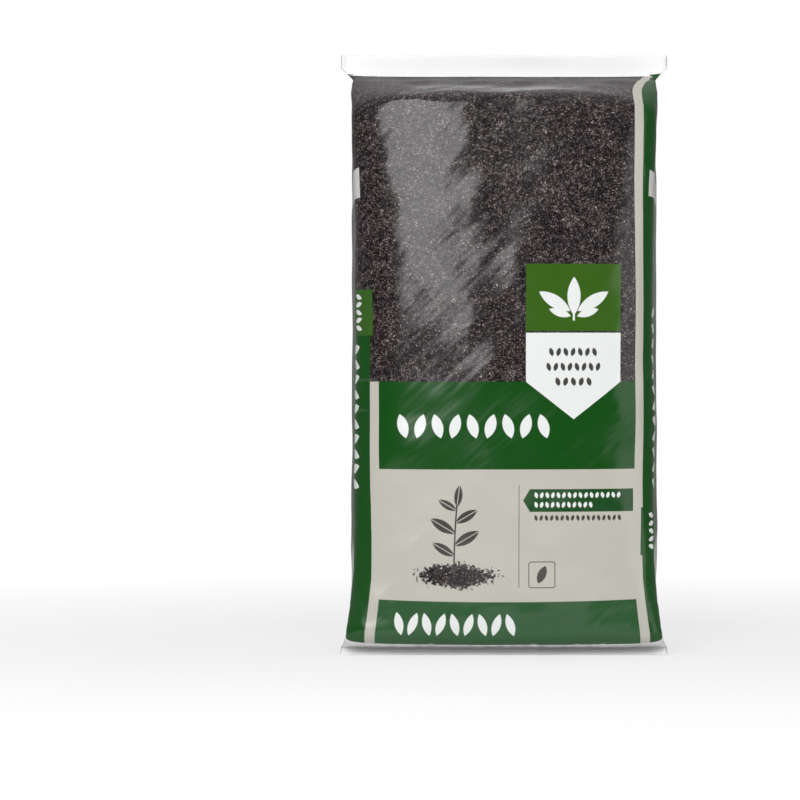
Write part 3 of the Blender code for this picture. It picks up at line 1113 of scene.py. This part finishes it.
@dataclass(frozen=True)
class PrintedFilm:
    """Low density polyethylene film, blown and printed in flat inks over a picture of soil.

    Blown film is smooth and shines softly, so wide lamps show in it as a pale haze with a clear edge.
    Its index is 1.51. The fine creases of a handled bag break the edge up.
    """

    ior: float = 1.51
    roughness: float = 0.17
    shoulder_roughness: float = 0.5
    shoulder_from: float = 672.0
    shoulder_fade: float = 20.0
    centre: float = 192.0
    foot_spread: float = 0.045
    spread_height: float = 90.0
    beige_low: float = 64.5
    beige_high: float = 216.6
    soil_low: float = 317.0
    left_side: tuple[float, float] = (34.5, 370.0)
    left_strip: tuple[float, float] = (34.5, 46.0)
    right_strip: tuple[float, float] = (345.7, 356.7)
    right_side: tuple[float, float] = (356.7, 474.0)
    lean_from: float = 430.0
    lean: float = 13 / 300
    neck_from: float = 646.0
    neck_lean: float = 0.42
    most_lean: float = 30.0
    print_top: float = 734.5
    print_bottom: float = 9.0
    ear_from: float = 162.0
    ear_fade: float = 24.0
    ear_below: float = -14.0
    crumb: float = 1.65
    clod: float = 6.0
    clump: float = 26.0
    crease_length: float = 90.0
    crease_width: float = 22.0
    crease_height: float = 0.22
    crease_slant: float = 44.0
    fold_in: float = 4.0
    fold_width: float = 3.2
    fold_height: float = 0.9
    cross_folds: tuple[tuple[float, float], ...] = ((318.0, 44.0), (283.0, 32.0))
    cross_fold_width: float = 1.6
    cross_fold_height: float = 0.4
    cross_fold_slope: float = 0.04
    cross_fold_fade: float = 5.0

    def coordinates(self, tree: bpy.types.NodeTree) -> tuple[bpy.types.NodeSocket, Value, Value]:
        """Reads the print's map.

        Args:
            tree: the material's node tree.

        Returns:
            The map in metres as a vector, mm round the tube, and mm up the print.
        """
        place = add_node(tree, "ShaderNodeUVMap", uv_map="film").outputs[0]
        parts = add_node(tree, "ShaderNodeSeparateXYZ", {0: place})
        x = Value(tree, parts.outputs[0]) * (1 / M_PER_MM) - self.centre
        y = Value(tree, parts.outputs[1]) * (1 / M_PER_MM)
        low = (y * (-1 / self.spread_height)).math("ADD", 1.0).over(0.0)
        fanned = x * (low * -self.foot_spread).math("ADD", 1.0) + self.centre
        return place, fanned, y

    def texture(
        self, tree: bpy.types.NodeTree, place: bpy.types.NodeSocket, size: float, detail: float = 2.0
    ) -> Value:
        """Noise whose waves are about a given size.

        Args:
            tree: the material's node tree.
            place: the map.
            size: mm from wave to wave.
            detail: how many finer layers it has.

        Returns:
            The noise, about 0.5 on average.
        """
        inputs = {"Vector": place, "Scale": 1 / (size * M_PER_MM), "Detail": detail, "Roughness": 0.6}
        return Value(tree, add_node(tree, "ShaderNodeTexNoise", inputs).outputs[0])

    def soil(self, tree: bpy.types.NodeTree, place: bpy.types.NodeSocket) -> bpy.types.NodeSocket:
        """The picture of soil: dark crumbs in clods, with pale bits of fibre among them.

        Real crumbs go down to a tenth of a mm. The finest drawn here are about 2 mm, which is as fine
        as the render shows.

        Args:
            tree: the material's node tree.
            place: the map.

        Returns:
            The colour.
        """
        fine = self.texture(tree, place, self.crumb, 1.0)
        clods = self.texture(tree, place, self.clod)
        clumps = self.texture(tree, place, self.clump)
        inputs = {"Vector": place, "Scale": 1 / (self.crumb * 1.7 * M_PER_MM)}
        grains = Value(tree, add_node(tree, "ShaderNodeTexVoronoi", inputs).outputs["Distance"])
        tone = fine * 0.55 - grains * 0.20 + clods * 0.34 + clumps * 0.20
        ramp = add_node(tree, "ShaderNodeValToRGB", {0: tone})
        stops = ramp.color_ramp.elements
        stops[0].position, stops[0].color = 0.36, linear("0E0A0B")
        stops[1].position, stops[1].color = 0.70, linear("C9C1BB")
        for position, shade in ((0.44, "2C2526"), (0.52, "4E4646"), (0.61, "857C79")):
            stops.new(position).color = linear(shade)
        return ramp.outputs[0]

    def fields(self, plate: Plate) -> None:
        """Prints the fields of colour.

        Args:
            plate: the plate to print on.
        """
        far = 2000.0
        low = self.print_bottom
        plate.paint(plate.box(-far, far, self.beige_low, self.beige_high), Ink.BEIGE)
        plate.paint(plate.box(-far, far, self.beige_high, self.soil_low), Ink.BAND_GREEN)
        # The lower band: its green print, lightened as painted sheen.
        plate.paint(plate.box(-far, far, low, self.beige_low), Ink.LOWER_GREEN_AND_SHEEN)
        lean = (plate.y - self.lean_from).over(0.0) * self.lean
        lean = lean - ((plate.y - self.neck_from) * self.neck_lean).over(0.0).under(self.most_lean)
        right = plate.x + lean
        beyond = self.span(plate, right, self.right_side).under(plate.filled(plate.y * -1.0 + low))
        edge, top = self.left_side
        plate.paint(plate.box(-far, edge, low, top).over(beyond), Ink.SIDE_GREEN)
        strip = self.span(plate, right, self.right_strip)
        plate.paint(plate.box(*self.left_strip, low, self.soil_low).over(strip), Ink.BEIGE)

    def span(self, plate: Plate, x: Value, ends: tuple[float, float]) -> Value:
        """The mask of an upright strip.

        Args:
            plate: the plate to print on.
            x: mm round the tube, with the strip's lean.
            ends: its left and right edges.

        Returns:
            The mask.
        """
        return plate.filled(abs(x - (ends[0] + ends[1]) / 2) - (ends[1] - ends[0]) / 2)

    def tags(self, plate: Plate) -> None:
        """Prints the small fields that run round the folds, and the leaves up the gussets.

        Args:
            plate: the plate to print on.
        """
        plate.paint(plate.box(-4, 38.5, 370, 423), Ink.TAG_GREEN)
        plate.paint(plate.box(354.4, 475, 116, 172), Ink.SIDE_GREEN)
        plate.paint(plate.box(-38, 24, 532, 570).over(plate.box(361, 424, 534, 567)), Ink.BOX_WHITE)
        leaves = plate.leaf_column(16, 14, 374, 419, 5).over(plate.leaf_column(372, 12, 121, 167, 5))
        left = plate.leaf_column(5, 26, 190, 362, 10)
        right = plate.leaf_column(386, 24, 190, 405, 12)
        plate.paint(leaves.over(left).over(right), Ink.LETTER_WHITE)

    def title(self, plate: Plate) -> None:
        """Prints the two rows of large leaves on the bands.

        Args:
            plate: the plate to print on.
        """
        rows = plate.leaf_row(65, 247.5, 252, 280, 9).over(plate.leaf_row(64, 207, 23, 51, 9))
        plate.paint(rows, Ink.LETTER_WHITE)

    def label(self, plate: Plate) -> None:
        """Prints the label, a green square with a sprout, over a white pennant with rows of leaves.

        Args:
            plate: the plate to print on.
        """
        middle = 271.8
        plate.paint(plate.box(217, 326.6, 375, 452), Ink.LABEL_GREEN)
        x, y = plate.x - middle, plate.y - 409.0
        sprout = plate.leaf(x, y - 6, 44, 15)
        for side in (-1, 1):
            sprout = sprout.over(plate.leaf(x - side * 22, y, 42, 14, side * 58))
            sprout = sprout.over(plate.leaf(x - side * 16, y + 13, 26, 9, side * 72))
        stalk = plate.box(middle - 1.2, middle + 1.2, 387, 412)
        plate.paint(sprout.over(stalk), Ink.LETTER_WHITE)
        tip, top, half = 274.0, 373.0, 54.8
        slope = abs(x) * 0.617 - (plate.y - tip) * 0.787
        pennant = (abs(x) - half).over(plate.y - top).over(slope)
        plate.paint(plate.filled(pennant), Ink.LETTER_WHITE)
        rows = plate.leaf_row(242, 300, 346, 356, 7)
        rows = rows.over(plate.leaf_row(239, 304, 329, 339, 8)).over(plate.leaf_row(249, 294, 312, 322, 5))
        plate.paint(rows, Ink.DRAWING)

    def drawing(self, tree: bpy.types.NodeTree, place: bpy.types.NodeSocket, plate: Plate) -> None:
        """Prints the drawing of a seedling in a heap of soil, beside a thin rule.

        Args:
            tree: the material's node tree.
            place: the map.
            plate: the plate to print on.
        """
        x, y = plate.x - 136.0, plate.y - 92.0
        across, upward = x * (1 / 62), (y - 2.5) * (1 / 19)
        edge = (across * across + upward * upward).math("SQRT")
        loose = self.texture(tree, place, 4.0, 3.0) * 2.2 + self.texture(tree, place, 30.0) * 0.8
        heap = ((edge * -1.6) + loose).math("SUBTRACT", 0.28) * 6.0
        plate.paint(heap.math("ADD", 0.0, clamp=True), plate.ground)
        curve = 0.0006
        bend = y * y * curve
        stem = plate.filled(abs(x - bend + 3.0) - 0.9).under(plate.box(100, 170, 96, 176))
        for rise, side, length in ((26, -1, 30), (38, 1, 34), (52, -1, 34), (64, 1, 30), (78, -1, 25)):
            reach = side * length * 0.42
            leaf_x, leaf_y = x - (reach - 3 + rise * rise * curve), y - (rise + length * 0.22)
            stem = stem.over(self.veined_leaf(plate, leaf_x, leaf_y, length, side * 60))
        stem = stem.over(self.veined_leaf(plate, x - 3, y - 94, 26, 8))
        plate.paint(stem, Ink.DRAWING)
        plate.paint(plate.box(208.8, 209.8, 81, 198), Ink.RULE)

    def veined_leaf(self, plate: Plate, x: Value, y: Value, length: float, lean: float) -> Value:
        """A leaf with a pale rib along its middle.

        Args:
            plate: the plate to print on.
            x: mm to the right of its middle.
            y: mm above its middle.
            length: tip to tip.
            lean: how far it leans to the right, in degrees.

        Returns:
            The mask.
        """
        turn = radians(lean)
        rib = abs(x * cos(turn) - y * sin(turn)) - 0.45
        return plate.leaf(x, y, length, length * 0.36, lean).under(plate.filled(rib * -1.0))

    def notes(self, plate: Plate) -> None:
        """Prints the arrow banner, the fine rows of leaves and the small outlined square.

        Args:
            plate: the plate to print on.
        """
        tip, end, half = 214.0, 344.0, 13.0
        rise = abs(plate.y - 181.0)
        banner = (plate.x - end).over(rise - half).over(rise * 0.524 - (plate.x - tip) * 0.852)
        plate.paint(plate.filled(banner), Ink.BANNER_GREEN)
        fine = plate.leaf_row(226, 329, 183.5, 190.5, 16).over(plate.leaf_row(226, 296, 172.5, 179.5, 11))
        plate.paint(fine, Ink.LETTER_WHITE)
        dark = plate.leaf_row(226, 330, 157.5, 164.5, 17)
        dark = dark.over(plate.leaf(plate.x - 236.3, plate.y - 96.0, 22, 10, 24))
        plate.paint(dark, Ink.DRAWING)
        plate.paint(plate.frame(221, 251.6, 81, 110.6, 3.0, 1.0), Ink.DRAWING)

    def creases(
        self, tree: bpy.types.NodeTree, place: bpy.types.NodeSocket, x: Value, y: Value
    ) -> bpy.types.NodeSocket:
        """The long shallow creases that slant over a handled bag, and the pressed lines of its folds.

        The pressed edge of each gusset runs up the bag. The short lines across the left one are from
        the stack that the flat bag was folded in.

        Args:
            tree: the material's node tree.
            place: the map.
            x: mm round the tube.
            y: mm up the print.

        Returns:
            The bumped normal.
        """
        size = (self.crease_length * M_PER_MM, self.crease_width * M_PER_MM, 1.0)
        inputs = {"Vector": place, "Rotation": (0.0, 0.0, radians(self.crease_slant)), "Scale": size}
        turned = add_node(tree, "ShaderNodeMapping", inputs, vector_type="TEXTURE")
        inputs = {"Vector": turned.outputs[0], "Scale": 1.0, "Detail": 2.0}
        waves = add_node(tree, "ShaderNodeTexNoise", inputs)
        height = Value(tree, waves.outputs[0]) * (self.crease_height * 4)
        for fold in (self.fold_in, 2 * self.centre - self.fold_in):
            near = (abs(x - fold) * (-1 / self.fold_width)).math("ADD", 1.0, clamp=True)
            height = height + near * near * self.fold_height
        for rise, reach in self.cross_folds:
            away = abs(y - rise - x * self.cross_fold_slope)
            line = (away * (-1 / self.cross_fold_width)).math("ADD", 1.0, clamp=True)
            within = (x * -1.0 + reach).math("MULTIPLY", 1 / self.cross_fold_fade, clamp=True)
            height = height + line * within * self.cross_fold_height
        inputs = {"Height": height, "Distance": M_PER_MM, "Strength": 1.0}
        return add_node(tree, "ShaderNodeBump", inputs).outputs[0]

    def gloss(self, tree: bpy.types.NodeTree, place: bpy.types.NodeSocket, y: Value) -> Value:
        """How rough the film is: a little uneven, and dull over the shoulders.

        The gathers under the top seal crinkle the film there, more finely than the mesh shows.

        Args:
            tree: the material's node tree.
            place: the map.
            y: mm up the print.

        Returns:
            The roughness.
        """
        uneven = (self.texture(tree, place, 40.0) - 0.5) * 0.06
        crinkled = (y - self.shoulder_from).math("MULTIPLY", 1 / self.shoulder_fade, clamp=True)
        return uneven + self.roughness + crinkled * (self.shoulder_roughness - self.roughness)

    def build(self) -> bpy.types.Material:
        """Makes the material.

        Returns:
            The printed film.
        """
        material = bpy.data.materials.new("printed_polyethylene_film")
        material.use_nodes = True
        tree = material.node_tree
        shader = tree.nodes["Principled BSDF"]
        place, x, y = self.coordinates(tree)
        plate = Plate(tree, x, y, self.soil(tree, place))
        self.fields(plate)
        self.tags(plate)
        self.title(plate)
        self.label(plate)
        self.drawing(tree, place, plate)
        self.notes(plate)
        # Below the print, the white film of the underside and the bottom seal is painted grey: painted
        # shade.
        plate.paint(plate.filled(y - self.print_bottom), Ink.UNDERSIDE_PAINTED_SHADE)
        above = plate.filled((y - self.print_top) * -1.0)
        out = abs(x - self.centre) - self.ear_from
        ears = out.math("MULTIPLY", 1 / self.ear_fade, clamp=True).under(plate.filled(y - self.ear_below))
        plate.paint(above.over(ears), Ink.FILM_WHITE)
        tree.links.new(plate.colour, shader.inputs["Base Color"])
        tree.links.new(self.creases(tree, place, x, y), shader.inputs["Normal"])
        tree.links.new(self.gloss(tree, place, y).socket, shader.inputs["Roughness"])
        shader.inputs["IOR"].default_value = self.ior
        return material


@dataclass(frozen=True)
class MattWhitePaint:
    """Matt emulsion, rolled on a floor.

    It scatters light evenly and has no shine, so the bag's shadow stays soft and nothing mirrors in
    it. It looks white to the camera away from the bag, and keeps the bag's shadow.
    """

    colour: str = "EDEDED"
    near: float = 0.6
    clear_radius: float = 0.45
    fade_rate: float = 1.1

    def build(self) -> bpy.types.Material:
        """Makes the material.

        Returns:
            The paint.
        """
        material = bpy.data.materials.new("matt_white_paint")
        material.use_nodes = True
        tree = material.node_tree
        tree.nodes.remove(tree.nodes["Principled BSDF"])
        place = add_node(tree, "ShaderNodeTexCoord").outputs["Object"]
        reach = add_node(tree, "ShaderNodeVectorMath", {0: place}, operation="LENGTH").outputs["Value"]
        beyond = (Value(tree, reach) - self.clear_radius).math("MULTIPLY", self.fade_rate, clamp=True)
        fade = beyond * (1 - self.near) + self.near
        paint = add_node(tree, "ShaderNodeBsdfDiffuse", {0: linear(self.colour)})
        glow = add_node(tree, "ShaderNodeEmission", {0: (1.0, 1.0, 1.0, 1.0), 1: 1.0})
        seen = Value(tree, add_node(tree, "ShaderNodeLightPath").outputs["Is Camera Ray"]) * fade
        both = add_node(tree, "ShaderNodeMixShader", {0: seen, 1: paint.outputs[0], 2: glow.outputs[0]})
        tree.links.new(both.outputs[0], tree.nodes["Material Output"].inputs[0])
        return material


@dataclass(frozen=True)
class Studio:
    """A plain pale studio: a floor, light from all round, a softbox, a fill and an overhead lamp."""

    camera_distance: float = 4.0
    camera_height: float = 0.35
    focal_length: float = 153.0
    sensor_width: float = 36.0
    shift: tuple[float, float] = (-0.13, -0.0594)
    softbox_power: float = 10.4
    fill_power: float = 4.0
    overhead_power: float = 24.0
    floor_radius: float = 2.4
    floor_steps: int = 96

    def camera(self) -> bpy.types.Object:
        """Makes the camera, level and square on to the front, and frames the bag by its shift.

        Returns:
            The camera.
        """
        data = bpy.data.cameras.new("camera")
        data.lens = self.focal_length
        data.sensor_width = self.sensor_width
        data.shift_x, data.shift_y = self.shift
        camera = bpy.data.objects.new("camera", data)
        camera.location = (0.0, -self.camera_distance, self.camera_height)
        camera.rotation_euler = (pi / 2, 0.0, 0.0)
        bpy.context.collection.objects.link(camera)
        bpy.context.scene.camera = camera
        return camera

    def lamp(self, name: str, place: tuple, target: tuple, size: tuple, power: float) -> bpy.types.Object:
        """Makes a rectangular lamp.

        Args:
            name: the lamp's name.
            place: where it stands, in metres.
            target: the point that it faces.
            size: its width and height in metres.
            power: its power in watts.

        Returns:
            The lamp.
        """
        data = bpy.data.lights.new(name, "AREA")
        data.shape = "RECTANGLE"
        data.size, data.size_y = size
        data.energy = power
        lamp = bpy.data.objects.new(name, data)
        lamp.location = place
        lamp.rotation_euler = (Vector(target) - Vector(place)).to_track_quat("-Z", "Y").to_euler()
        lamp.visible_camera = False
        bpy.context.collection.objects.link(lamp)
        return lamp

    def world(self) -> None:
        """Makes the room's light: pale behind and above the bag, dim behind the camera, white to look at."""
        world = bpy.data.worlds.new("studio")
        bpy.context.scene.world = world
        world.use_nodes = True
        tree = world.node_tree
        toward = add_node(tree, "ShaderNodeTexCoord").outputs["Generated"]
        parts = add_node(tree, "ShaderNodeSeparateXYZ", {0: toward})
        back, up = Value(tree, parts.outputs[1]), Value(tree, parts.outputs[2])
        level = ((back * 0.08) + (up * 0.7) + 0.16).over(0.08)
        seen = Value(tree, add_node(tree, "ShaderNodeLightPath").outputs["Is Camera Ray"])
        strength = level.over(seen)
        background = tree.nodes["Background"]
        background.inputs[0].default_value = (1.0, 1.0, 1.0, 1.0)
        tree.links.new(strength.socket, background.inputs[1])

    def floor(self) -> bpy.types.Object:
        """Makes the floor: a disc that fades into the pale room.

        Returns:
            The floor.
        """
        steps = self.floor_steps
        ring = [(cos(2 * pi * k / steps), sin(2 * pi * k / steps)) for k in range(steps)]
        points = [(x * self.floor_radius, y * self.floor_radius, 0.0) for x, y in ring]
        mesh = bpy.data.meshes.new("floor")
        mesh.from_pydata(points, [], [list(range(steps))])
        floor = bpy.data.objects.new("floor", mesh)
        bpy.context.collection.objects.link(floor)
        mesh.materials.append(MattWhitePaint().build())
        return floor

    def build(self) -> None:
        """Sets the studio up."""
        self.floor()
        self.world()
        self.camera()
        self.lamp("softbox", (-0.53, -1.7, 0.91), (0.0, 0.0, 0.55), (0.76, 1.04), self.softbox_power)
        self.lamp("fill", (2.0, -1.6, 0.42), (0.0, 0.0, 0.4), (1.4, 0.8), self.fill_power)
        # The overhead lamp is behind a scrim, so it doesn't show as a shine on the film
        overhead = self.lamp("overhead", (0.0, -2.4, 1.7), (0.0, 0.0, 0.3), (2.0, 1.2), self.overhead_power)
        overhead.visible_glossy = False
        bpy.context.scene.view_settings.view_transform = "Standard"


def main() -> None:
    """Builds the bag and the studio."""
    logging.basicConfig(level=logging.INFO, format="%(name)s: %(message)s")
    sizes = BagSizes.from_box(CAD_BOX)
    LOG.info("sizes: %.1f high, %.1f wide, %.1f deep", sizes.height, sizes.flat_width, sizes.depth)
    form = FilledForm(sizes, FilmGrid(sizes))
    film = BagFilm(form, FilmSolver(form))
    bag = film.build("filled_bag_film", PrintedFilm().build())
    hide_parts("filled_bag")
    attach(bag, "root")
    LOG.info("bag: %d faces", len(bag.data.polygons))
    Studio().build()
    LOG.info("studio: floor, room, three lamps and the camera")
    bpy.context.view_layer.update()


if __name__ == "__main__":
    main()
